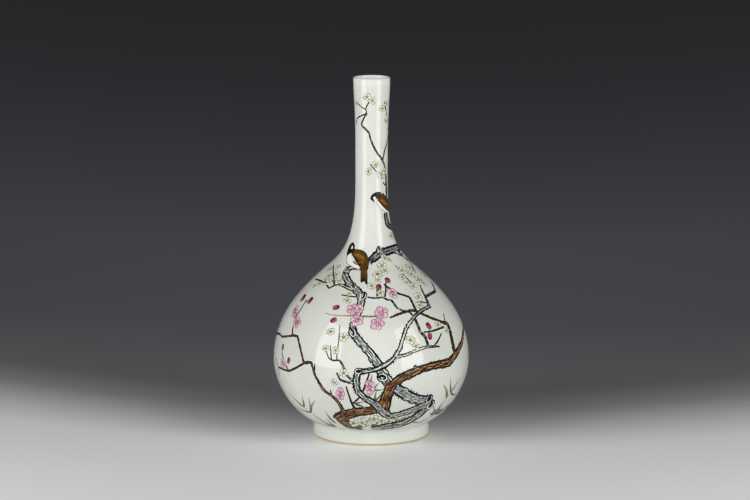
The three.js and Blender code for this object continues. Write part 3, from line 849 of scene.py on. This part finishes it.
def paintBird(name, pose, centre, scale, tilt, turn):
    # a small brown finch that looks to the left: sepia hood, white cheek and breast, folded wings, long notched tail
    base = 0.09
    c, s = math.cos(math.radians(tilt)) * scale, math.sin(math.radians(tilt)) * scale
    form = finches[pose]

    def path(*points):
        return drawn([(centre[0] + x * c - y * s, centre[1] + x * s + y * c) for x, y in points], turn)

    def mark(part, points, widths, lift, over=0.0, step=0.8, **more):
        stroke(name + "_" + part, path(*points), [w * scale for w in widths], base + lift, base + over, step=step,
               **more)

    back, backWidths = form["back"]
    mark("breast", *form["breast"], 0.0, -0.09, ease=1.0)
    mark("ink", *form["rim"], 0.02, -0.09, ease=1.0)
    mark("cap", back, [w + 1.6 for w in backWidths], 0.02, -0.09, ease=1.0, rough=0.15, grain=2)
    mark("plumage", back, backWidths, 0.04, 0.02, ease=1.0, rough=0.2, grain=1.6, tone=0.2)
    mark("shine", *form["shine"], 0.07, 0.05, ease=1.0, rough=0.4, grain=1.2)
    for i, (x, low) in enumerate(((3.9, -20.4), (6.1, -19.6), (8.1, -22))):
        # three tail feathers with black tips
        top = 4.4 + i * 1.6
        mark("cap", [(top, -6), (x, low / 2 - 3), (x + 0.2 * (i - 1), low - 0.8)], [2.9, 3, 2.6], 0.02 + 0.01 * i,
             -0.09)
        mark("plumage", [(top, -7), (x, low / 2 - 3), (x, low + 2)], [1.7, 1.8, 1.3], 0.05 + 0.01 * i, 0.02,
             tone=0.3 + 0.2 * i)
        mark("ink", [(x, low + 2.6), (x + 0.1 * (i - 1), low + 0.8), (x + 0.2 * (i - 1), low - 1)], [1, 2.4, 2.2],
             0.08, -0.09)
    (x, y), (stepX, stepY), (endX, endY), spread, count = form["wing"]
    for i in range(count):
        # the flight feathers of the folded wing fan from the shoulder to the rump
        a = i / (count - 1)
        start, end = (x + stepX * a, y + stepY * a), (endX + spread * a, endY + 1.6 * math.sin(a * 3.1))
        middle = ((start[0] + end[0]) / 2 - 0.7 + 1.2 * a, (start[1] + end[1]) / 2)
        mark("cap", [start, middle, end], [0.25, 0.55, 0.25], 0.1, 0.06, 1.2)
    if pose == "perched":
        for low in (5.4, 3.2, 1):
            mark("cap", [(-3.4, low - 1), (0.2, low - 1.6), (3.8, low - 0.6)], [0.2, 0.45, 0.2], 0.1, 0.06, 1.2)
        mark("shine", [(-5, -0.2), (-1.6, -1.8), (2.4, -1.4), (6, 0.6)], [0.3, 0.8, 0.8, 0.3], 0.11, 0.05)
        mark("cap", [(-5.6, 0.6), (-3, -2.6), (1, -3.6), (5.6, -3.2)], [0.4, 1.2, 1.2, 0.3], 0.11, 0.05)
        for x in (-1.4, 1):
            mark("ink", [(x, -6.4), (x - 0.4, -10)], [0.6, 0.5], 0.03, -0.09)
    mark("cap", *form["hood"], 0.05, -0.05, ease=1.0)
    mark("cap", *form["nape"], 0.05, -0.05, ease=1.0)
    mark("cap", *form["collar"], 0.06, -0.05)
    mark("breast", *form["cheek"], 0.1, 0.03, 0.6)
    mark("ink", form["eye"], [0.9, 0.9], 0.12, 0.07, 0.4)
    mark("ink", *form["beak"], 0.07, -0.05, 0.6)


def paintBack():
    # the unseen side: the same branches run on and thin out, with a little bamboo under them
    limb("brown_tree", around([(85, 109.6), (92, 113.4), (100, 121), (113, 118), (126, 126)]),
         [3.4, 3.2, 2.6, 2.2, 1.2], 1, 41, 0.5)
    growTwigs("brown_tree", [
        ([(100, 121), (106, 132), (108, 143)], [1.7, 1.3, 0.7]),
        ([(91, 112), (99, 103), (110, 98)], [1.6, 1.2, 0.6]),
    ], around)
    limb("brown_tree", [seen(-91, 99)] + around([(-84, 104), (-91, 101), (-98, 103), (-112, 101), (-126, 110)]),
         [2, 2.2, 2.2, 1.9, 1.6, 0.9], 1, 42, 0.5)
    growTwigs("brown_tree", [
        ([(-98, 103), (-104, 116), (-103, 128)], [1.4, 1.1, 0.6]),
        ([(-89, 101.6), (-96, 89), (-106, 83)], [1.3, 1, 0.6]),
    ], around)
    limb("grey_tree", around([(52, 188.6), (70, 184), (86, 176), (104, 176), (122, 166), (138, 168)]),
         [4.4, 4, 3.2, 2.4, 1.8, 1], 0, 43, 0.5)
    growTwigs("grey_tree", [
        ([(86, 176), (92, 162), (101, 152)], [1.8, 1.2, 0.6]),
        ([(104, 176), (112, 184), (116, 193)], [1.4, 1.1, 0.5]),
    ], around)
    stub = seen(30, 186.6)
    limb("grey_tree", [beside(stub, -4, 0), beside(stub, 5, 3), beside(stub, 15, 2), beside(stub, 26, 9)],
         [7, 5.6, 3.6, 1.4], 0, 45, 0.5, lit=False)
    limb("grey_tree", around([(48, 33), (62, 31), (78, 36), (92, 33), (108, 40)]), [8, 6.5, 5, 3.6, 1.6], 0, 44)
    growTwigs("grey_tree", [
        ([(78, 36), (84, 47), (93, 53)], [2, 1.5, 0.7]),
        ([(58, 290), (78, 300), (98, 306), (122, 301)], [1.4, 1.3, 1.1, 0.6]),
        ([(98, 306), (110, 315), (116, 324)], [1.1, 0.9, 0.5]),
    ], around)
    for i, (degrees, height, size, turn, open_) in enumerate((
            (109, 144, 13, 90, 1), (101, 129, 13.5, 60, 0.9), (125, 127, 12.5, 20, 0.8), (110, 99, 12, 240, 0.8),
            (-104, 128, 12.5, 90, 0.9), (-95, 106, 12, 100, 1), (-126, 111, 12, 160, 0.8), (-107, 83, 11, 250, 0.8))):
        flower("pink", spot(degrees, height), size, turn, open_, 90 + i)
    for degrees, height, turn in ((115, 133, 60), (95, 107, 250), (119, 114, 300), (-112, 120, 120), (-88, 88, 250)):
        bud(spot(degrees, height), 5.6, turn)
    for i, (degrees, height, size, turn, open_) in enumerate((
            (112, 187, 8, 90, 0.9), (84, 166, 8, 240, 1), (90, 180, 8.5, 90, 1), (101, 151, 8, 260, 0.8),
            (96, 164, 7.5, 30, 0.9), (116, 194, 7.5, 90, 0.9), (112, 180, 7, 30, 0.8), (124, 160, 8, 270, 0.9),
            (138, 169, 8, 20, 0.8), (132, 175, 7, 90, 0.8), (93, 55, 8.5, 60, 1), (84, 44, 7.5, 100, 0.9),
            (110, 42, 8, 30, 0.8), (78, 309, 6.5, 90, 0.9), (98, 297, 6.5, 270, 0.8), (117, 325, 6.5, 90, 0.9),
            (122, 300, 6.5, 0, 0.8))):
        flower("white", spot(degrees, height), size, turn, open_, 120 + i)
    for i, (degrees, height) in enumerate(((-96, 31), (-124, 35), (-148, 29), (-176, 34), (154, 30), (128, 33))):
        root = spot(degrees, height)
        for j, (length, width, turn) in enumerate(((21, 2.6, 96), (17, 2.4, 62), (18, 2.4, 128), (11, 2, 22))):
            tip = away(root, turn + 9 * ((i + j) % 3 - 1), length * (1 - 0.12 * (i % 3)))
            leaf(root, tip, width, (0.06, -0.05)[j % 2], ((i + 2 * j) % 6) / 5)
        stroke("bamboo_stems", [root, away(root, 280 - 20 * (i % 2), 9)], [0.8, 0.4], 0.06)


def wallAt(t):
    # the wall's thickness in mm, t as in outlineAt
    return valueAt(outline["walls"], t / (len(outline["walls"]) - 1))


def spinProfile(name, profile):
    # turns a profile in mm about the axis into a skin that faces outwards
    bm = bmesh.new()
    verts = [bm.verts.new((r * mm, 0, z * mm)) for r, z in profile]
    for a, b in zip(verts, verts[1:]):
        bm.edges.new((a, b))
    bmesh.ops.spin(bm, geom=bm.verts[:] + bm.edges[:], cent=(0, 0, 0), axis=(0, 0, 1),
                   angle=math.tau, steps=256, use_merge=True)
    bmesh.ops.remove_doubles(bm, verts=bm.verts[:], dist=1e-6)
    bmesh.ops.recalc_face_normals(bm, faces=bm.faces[:])
    for face in bm.faces:
        face.smooth = True
    return meshObject(name, bm)


def settle(piece, material):
    # gives a piece its material and its body
    piece.data.materials.append(material)
    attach(piece, "root")


# The foot, in mm: the glaze stops `glazeStop` above the ground, and `skin` is the glaze under the base
foot = {"taper": 0.2, "glazeStop": 1.8, "glazeStep": 0.3, "restWidth": 3, "rounding": 1.1, "recessRadius": 47.7,
        "corner": 2, "skin": 0.6}
groundRadius = outline["footRadius"] - foot["taper"]
bareRadius = groundRadius - foot["glazeStep"]
innerGroundRadius = bareRadius - foot["restWidth"] - 2 * foot["rounding"]


def roundOff(centreRadius, centreHeight, radius, start, end, steps=6):
    # an arc of a profile, from one angle to another in degrees
    angles = [math.radians(start + (end - start) * i / steps) for i in range(steps + 1)]
    return [(centreRadius + radius * math.cos(a), centreHeight + radius * math.sin(a)) for a in angles]


def makePorcelain(material):
    # the glazed body in one closed skin: recessed base, foot, belly, neck, lip and the whole inside
    stop = foot["glazeStop"]
    lip = lipHeight - outline["lipRounding"]
    rounding = outline["lipRounding"]
    base = footHeight - foot["skin"]
    profile = [(0, base), (foot["recessRadius"], base)]
    profile += roundOff(foot["recessRadius"], base - foot["corner"], foot["corner"], 90, 20, 5)
    profile += [(innerGroundRadius - 0.2, stop + 1), (innerGroundRadius + 0.3, stop + 0.1),
                (bareRadius - 0.3, stop + 0.1)]
    profile += roundOff(bareRadius - 0.1, stop + 0.45, 0.3, -90, 0, 4)
    profile += [(groundRadius + foot["taper"] * k / 6, stop + 0.8 + (footHeight - 1.4 - stop) * k / 6)
                for k in range(6)]
    for i, (climb, radius, height, normal) in enumerate(zip(climbs, radii, heights, normals)):
        if climb > 0.6 and i % 5 == 0:
            profile.append((radius - normal.x * enamelRoom, height - normal.y * enamelRoom))
    profile += roundOff(outline["lipRadius"] - rounding, lip, rounding - enamelRoom * 0.5, 8, 172, 10)
    inner = []
    for i in range(len(spans) * 30, 0, -1):
        point, normal = outlineAt(i / 30)
        inside = point - normal * wallAt(i / 30)
        if inside.y > footHeight + outline["floor"] + 3:
            inner.append((inside.x, inside.y))
    profile += inner
    floor = footHeight + outline["floor"]
    profile += [(inner[-1][0] - 4, floor + 0.9), (inner[-1][0] - 9, floor), (0, floor)]
    piece = spinProfile("porcelain_glaze", profile)
    settle(piece, material)
    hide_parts("lower_body", "belly_lute", "upper_body", "neck_lute", "neck", "foot_lute")


def makeBiscuitFoot(material):
    # the bare ring that touches the ground
    top = foot["glazeStop"] + 0.05
    r = foot["rounding"]
    profile = [(innerGroundRadius + 0.2, top)] + roundOff(innerGroundRadius + r, r, r, 180, 270)
    profile += roundOff(bareRadius - r, r, r, 270, 360) + [(bareRadius - 0.05, top), (innerGroundRadius + 0.2, top)]
    piece = spinProfile("foot_biscuit", profile)
    settle(piece, material)
    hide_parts("foot_ring")


def newMaterial(name, roughness, specular=0.5):
    # a material with the index of glass and glaze
    material = bpy.data.materials.new(name)
    material.use_nodes = True
    tree = material.node_tree
    shader = tree.nodes["Principled BSDF"]
    shader.inputs["Roughness"].default_value = roughness
    shader.inputs["Specular IOR Level"].default_value = specular
    shader.inputs["IOR"].default_value = 1.5
    return material, tree, shader


# Where the painted highlight inside the neck's opening begins: from the radius `outer` inwards and from the height
# `low` up, in metres
mouthHighlight = {"outer": 0.0184, "inner": 0.0176, "low": 0.352, "high": 0.356}


def porcelainGlaze():
    # clear feldspathic glaze over white porcelain: glassy, faintly green-grey, with a slow ripple from the firing;
    #     the top of the inner wall and the inner lip are painted near-white, a painted highlight
    material, tree, shader = newMaterial("porcelain_glaze", 0.04, 0.4)
    place = addNode(tree, "TexCoord", {}, {})["Object"]
    cloud = addNode(tree, "TexNoise", {"Scale": 28, "Detail": 3}, {"Vector": place})
    tone = addNode(tree, "ValToRGB", {"stops": [(0.3, "#CDD0C6"), (0.7, "#D5D7CF")]}, {"Fac": cloud["Fac"]})["Color"]
    split = addNode(tree, "SeparateXYZ", {}, {"Vector": place})
    flat = addNode(tree, "CombineXYZ", {}, {"X": split["X"], "Y": split["Y"]})
    radius = addNode(tree, "VectorMath", {"operation": "LENGTH"}, {0: flat[0]})["Value"]
    # painted highlight: inside the opening's upper wall and lip the glaze colour is mixed towards near-white
    inner = addNode(tree, "MapRange", {"From Min": mouthHighlight["outer"], "From Max": mouthHighlight["inner"]}, {"Value": radius})[0]
    high = addNode(tree, "MapRange", {"From Min": mouthHighlight["low"], "From Max": mouthHighlight["high"]}, {"Value": split["Z"]})[0]
    inside = addNode(tree, "Math", {"operation": "MULTIPLY"}, {0: inner, 1: high})[0]
    mixed = addNode(tree, "Mix", {"data_type": "RGBA", 7: linearOf("#F6F6F3")}, {0: inside, 6: tone})
    tree.links.new(mixed[2], shader.inputs["Base Color"])
    ripple = addNode(tree, "TexNoise", {"Scale": 55, "Detail": 1}, {"Vector": place})
    bump = addNode(tree, "Bump", {"Strength": 0.1, "Distance": 0.0004}, {"Height": ripple["Fac"]})
    tree.links.new(bump["Normal"], shader.inputs["Normal"])
    return material


def biscuit():
    # bare fired porcelain: dry and sandy, darker and browner towards where the glaze stops
    material, tree, shader = newMaterial("bare_biscuit", 0.75)
    place = addNode(tree, "TexCoord", {}, {})["Object"]
    grit = addNode(tree, "TexNoise", {"Scale": 900, "Detail": 3}, {"Vector": place})
    height = addNode(tree, "SeparateXYZ", {}, {"Vector": place})["Z"]
    nearGlazeStop = addNode(tree, "MapRange", {"From Max": 0.0018}, {"Value": height})
    mixed = addNode(tree, "Math", {"operation": "MULTIPLY_ADD", 1: 0.5}, {0: grit["Fac"], 2: nearGlazeStop[0]})
    stops = [(0.2, "#D9CDB4"), (0.8, "#C4AE8C"), (1.0, "#A68C66")]
    colour = addNode(tree, "ValToRGB", {"stops": stops}, {"Fac": mixed[0]})["Color"]
    tree.links.new(colour, shader.inputs["Base Color"])
    bump = addNode(tree, "Bump", {"Strength": 0.3, "Distance": 0.0001}, {"Height": grit["Fac"]})
    tree.links.new(bump["Normal"], shader.inputs["Normal"])
    return material


def strokePlaces(tree):
    # the place across and along a stroke, the stroke's own tone, and the place on the vase
    uv = addNode(tree, "UVMap", {"uv_map": "stroke"}, {})["UV"]
    tone = addNode(tree, "Attribute", {"attribute_name": "tone"}, {})["Fac"]
    return uv, tone, addNode(tree, "TexCoord", {}, {})["Object"]


def enamel(name, stops):
    # glassy overglaze enamel: it pools and thins in streaks about 0.8 mm wide and 6 mm long down each stroke
    material, tree, shader = newMaterial(name, 0.25, 0.14)
    uv, tone, place = strokePlaces(tree)
    stretched = addNode(tree, "Mapping", {"Scale": (12, 1.7, 1)}, {"Vector": uv})[0]
    shifted = addNode(tree, "VectorMath", {"operation": "ADD"}, {0: stretched, 1: place})[0]
    streak = addNode(tree, "TexNoise", {"Scale": 1.0, "Detail": 3}, {"Vector": shifted})["Fac"]
    cloud = addNode(tree, "TexNoise", {"Scale": 420, "Detail": 3}, {"Vector": place})["Fac"]
    half = addNode(tree, "Math", {"operation": "MULTIPLY", 1: 0.4}, {0: cloud})[0]
    both = addNode(tree, "Math", {"operation": "MULTIPLY_ADD", 1: 0.6}, {0: streak, 2: half})[0]
    centred = addNode(tree, "Math", {"operation": "MULTIPLY_ADD", 1: 1.6, 2: -0.45}, {0: both})
    toned = addNode(tree, "Math", {"operation": "MULTIPLY_ADD", 1: 0.3}, {0: tone, 2: centred[0]})
    colour = addNode(tree, "ValToRGB", {"stops": stops}, {"Fac": toned[0]})["Color"]
    tree.links.new(colour, shader.inputs["Base Color"])
    bump = addNode(tree, "Bump", {"Strength": 0.2, "Distance": 0.0001}, {"Height": both})
    tree.links.new(bump["Normal"], shader.inputs["Normal"])
    return material


def petalEnamel(name, stops, reach):
    # petal enamel: one loaded brush leaves it strong at one end and thin at the other; `reach` is how much of the
    # ramp 10 mm take
    material, tree, shader = newMaterial(name, 0.22, 0.3)
    uv, tone, place = strokePlaces(tree)
    split = addNode(tree, "SeparateXYZ", {}, {"Vector": uv})
    out = addNode(tree, "Math", {"operation": "MULTIPLY", 1: reach}, {0: split["Y"]})[0]
    cloud = addNode(tree, "TexNoise", {"Scale": 500, "Detail": 2}, {"Vector": place})["Fac"]
    mixed = addNode(tree, "Math", {"operation": "MULTIPLY_ADD", 1: 0.5}, {0: cloud, 2: out})
    toned = addNode(tree, "Math", {"operation": "MULTIPLY_ADD", 1: 0.25}, {0: tone, 2: mixed[0]})
    value = addNode(tree, "Math", {"operation": "SUBTRACT", 1: 0.38}, {0: toned[0]})
    colour = addNode(tree, "ValToRGB", {"stops": stops}, {"Fac": value[0]})["Color"]
    tree.links.new(colour, shader.inputs["Base Color"])
    return material


print("painting")
paintBack()
paintBamboo()
paintGreyTree()
paintBrownTree()
paintNeckSprig()
paintBlossoms()
paintBird("shoulder_bird", "perched", (-13, 172), 1.0, 0, 0)
paintBird("neck_bird", "bowed", (2.1, 230.2), 1.0, 28.6, 50)

# Each enamel: the slot of its pigment, its name and its colours from thin to thick; a petal's has its reach too
finishes = {
    "grey_tree_ink": ("enamel_black", "black_enamel", [(0.2, "#070707"), (0.8, "#161514")]),
    "grey_tree_wash": ("enamel_grey", "grey_blue_enamel", [(0.1, "#3C4244"), (0.5, "#828887"), (0.9, "#C0C4C0")]),
    "grey_tree_pale": ("enamel_white", "blush_white_enamel", [(0.2, "#BEB9B4"), (0.8, "#DEDAD5")]),
    "grey_tree_bark": ("enamel_black", "dark_grey_enamel", [(0.2, "#121416"), (0.8, "#26292C")]),
    "grey_tree_lights": ("enamel_white", "opaque_white_enamel", [(0.1, "#D3D6D2"), (0.8, "#F0F1EC")]),
    "brown_tree_ink": ("enamel_brown", "dark_brown_enamel", [(0.2, "#100804"), (0.8, "#24140C")]),
    "brown_tree_wash": ("enamel_brown", "brown_enamel", [(0.1, "#2F1A0D"), (0.5, "#5C3B20"), (0.9, "#8C633B")]),
    "brown_tree_bark": ("enamel_brown", "umber_enamel", [(0.2, "#190C07"), (0.8, "#321D11")]),
    "brown_tree_lights": ("enamel_white", "ochre_enamel", [(0.1, "#94673B"), (0.8, "#CFAE85")]),
    "pink_petals": ("enamel_rose", "rose_pink_enamel", [(0.0, "#E9D6DB"), (0.45, "#D5B2BE"), (0.85, "#B07A94")], 1.2),
    "pink_lines": ("enamel_rose", "deep_pink_enamel", [(0.2, "#783456"), (0.8, "#A06084")]),
    "rose_buds": ("enamel_ruby", "ruby_enamel", [(0.0, "#B66680"), (0.35, "#8A2444"), (0.8, "#5C102A")], 1.6),
    "white_petals": ("enamel_white", "arsenic_white_enamel", [(0.0, "#D2D5B4"), (0.35, "#DFE0CC"), (0.8, "#E8E8DC")],
                     2.0),
    "white_lines": ("enamel_yellow_green", "olive_line_enamel", [(0.2, "#5C5F38"), (0.8, "#8C9062")]),
    "flower_hearts": ("enamel_yellow_green", "lemon_green_enamel", [(0.2, "#BDB48A"), (0.8, "#DDD2B0")]),
    "pink_stamens": ("enamel_ruby", "crimson_enamel", [(0.2, "#6C2040"), (0.8, "#94446A")]),
    "white_stamens": ("enamel_yellow_green", "olive_enamel", [(0.2, "#4A4624"), (0.8, "#77733E")]),
    "white_shadows": ("enamel_yellow_green", "pale_green_enamel", [(0.2, "#B4BC8A"), (0.8, "#CBD0A4")]),
    "cup_ticks": ("enamel_brown", "cup_sepia_enamel", [(0.2, "#3E3020"), (0.8, "#66543A")]),
    "bud_cups": ("enamel_green", "sap_green_enamel", [(0.2, "#5E5A30"), (0.8, "#7E7E46")]),
    "bamboo_leaves": ("enamel_green", "bamboo_green_enamel", [(0.0, "#414A30"), (0.5, "#66704A"), (1.0, "#949C76")],
                      0.7),
    "bamboo_stems": ("enamel_green", "dark_green_enamel", [(0.2, "#394128"), (0.8, "#5A6443")]),
}
for bird in ("shoulder_bird", "neck_bird"):
    finishes[bird + "_plumage"] = ("enamel_brown", "tawny_enamel",
                                   [(0.1, "#38220D"), (0.5, "#583A15"), (0.9, "#7A541F")])
    finishes[bird + "_cap"] = ("enamel_brown", "sepia_enamel", [(0.2, "#150B06"), (0.8, "#2E1B0F")])
    finishes[bird + "_breast"] = ("enamel_white", "cream_enamel", [(0.2, "#E4DFD6"), (0.8, "#EFEBE4")])
    finishes[bird + "_shine"] = ("enamel_brown", "pale_tawny_enamel", [(0.1, "#69481A"), (0.9, "#96702C")])
    finishes[bird + "_ink"] = ("enamel_black", "fine_black_enamel", [(0.2, "#120D0B"), (0.8, "#2E2622")])


def layPainting():
    # the strokes of one enamel become one piece with its material, and its pigment is printed beside it
    for name, (bm, _, _) in brushes.items():
        piece = meshObject(name, bm)
        pigment, title, stops, *reach = finishes[name]
        settle(piece, petalEnamel(title, stops, *reach) if reach else enamel(title, stops))
        print(name, pigment, len(piece.data.polygons))


layPainting()
makePorcelain(porcelainGlaze())
makeBiscuitFoot(biscuit())
print("porcelain made")

# The floor's painted light and shade by depth: `bow` keeps the sides pale further back, `slant` makes the left side
# lighter, and the list gives the painted colours by depth in metres
stage = {"size": 14.0, "bow": 0.7, "slant": 0.09,
         "paintedLightFalloff": [(-0.25, "#FAFAFA"), (-0.07, "#F7F7F7"), (0.02, "#D6D6D6"), (0.11, "#A1A1A3"), (0.2, "#7F7F82"),
                     (0.5, "#737379"),
                     (1.1, "#7C7C85"), (1.8, "#71717A"), (3.0, "#5B5B62"), (4.6, "#4D4D52")]}


def makeFloor():
    # studio paper whose colour holds painted light: a painted pool of light in front and round the foot, and painted
    # shade that darkens it towards the back
    bm = bmesh.new()
    bmesh.ops.create_grid(bm, x_segments=1, y_segments=1, size=stage["size"] / 2)
    floor = meshObject("floor", bm)
    material, tree, shader = newMaterial("studio_paper_painted_light", 0.6)
    place = addNode(tree, "TexCoord", {}, {})["Object"]
    split = addNode(tree, "SeparateXYZ", {}, {"Vector": place})
    bow = addNode(tree, "Math", {"operation": "MULTIPLY_ADD", 1: -stage["bow"], 2: stage["slant"]}, {0: split["X"]})
    depth = addNode(tree, "Math", {"operation": "MULTIPLY_ADD"},
                    {0: split["X"], 1: bow[0], 2: split["Y"]})[0]
    low, high = stage["paintedLightFalloff"][0][0], stage["paintedLightFalloff"][-1][0]
    share = addNode(tree, "MapRange", {"From Min": low, "From Max": high}, {"Value": depth})[0]
    stops = [((y - low) / (high - low), colour) for y, colour in stage["paintedLightFalloff"]]
    tree.links.new(addNode(tree, "ValToRGB", {"stops": stops}, {"Fac": share})["Color"], shader.inputs["Base Color"])
    floor.data.materials.append(material)


def makeCamera():
    # the eye of the sheet, with the sheet's width filling the picture
    data = bpy.data.cameras.new("camera")
    data.sensor_width = 36
    data.lens = data.sensor_width * sheet["away"] / sheet["wide"]
    data.clip_end = 50
    camera = addObject("camera", data)
    camera.location = Vector(sheet["eye"]) * mm
    camera.rotation_euler = gaze.to_euler()
    bpy.context.scene.camera = camera


lamps = {"left": {"azimuth": -51, "wide": 0.68, "power": 10.9}, "right": {"azimuth": 48, "wide": 0.60, "power": 10.4},
         "distance": 1.2, "tall": 1.2}


def softbox(name):
    # an upright softbox that stands on the floor and faces the vase
    lamp = lamps[name]
    data = bpy.data.lights.new(name + "_softbox", "AREA")
    data.shape = "RECTANGLE"
    data.size, data.size_y = lamp["wide"], lamps["tall"]
    data.energy = lamp["power"]
    light = addObject(name + "_softbox", data)
    turn = math.radians(lamp["azimuth"])
    light.location = (lamps["distance"] * math.sin(turn), -lamps["distance"] * math.cos(turn),
                      lamps["tall"] / 2 + 0.01)
    light.rotation_euler = (math.pi / 2, 0, turn)
    light.visible_camera = False


def makeWorld():
    # a grey room, pale behind the camera and dark overhead
    world = bpy.data.worlds.new("studio")
    world.use_nodes = True
    tree = world.node_tree
    way = addNode(tree, "TexCoord", {}, {})["Generated"]
    split = addNode(tree, "SeparateXYZ", {}, {"Vector": way})
    front = addNode(tree, "MapRange", {"From Min": 0.2, "From Max": -0.9}, {"Value": split["Y"]})[0]
    drop = addNode(tree, "Math", {"operation": "MULTIPLY_ADD", 1: -0.6}, {0: split["Z"], 2: front})
    stops = [(0.0, "#444446"), (0.4, "#A4A4A6"), (0.9, "#D6D6D6")]
    colour = addNode(tree, "ValToRGB", {"stops": stops}, {"Fac": drop[0]})["Color"]
    tree.links.new(colour, tree.nodes["Background"].inputs["Color"])
    bpy.context.scene.world = world


makeFloor()
makeCamera()
softbox("left")
softbox("right")
makeWorld()
bpy.context.scene.view_settings.view_transform = "Standard"
print("stage set")
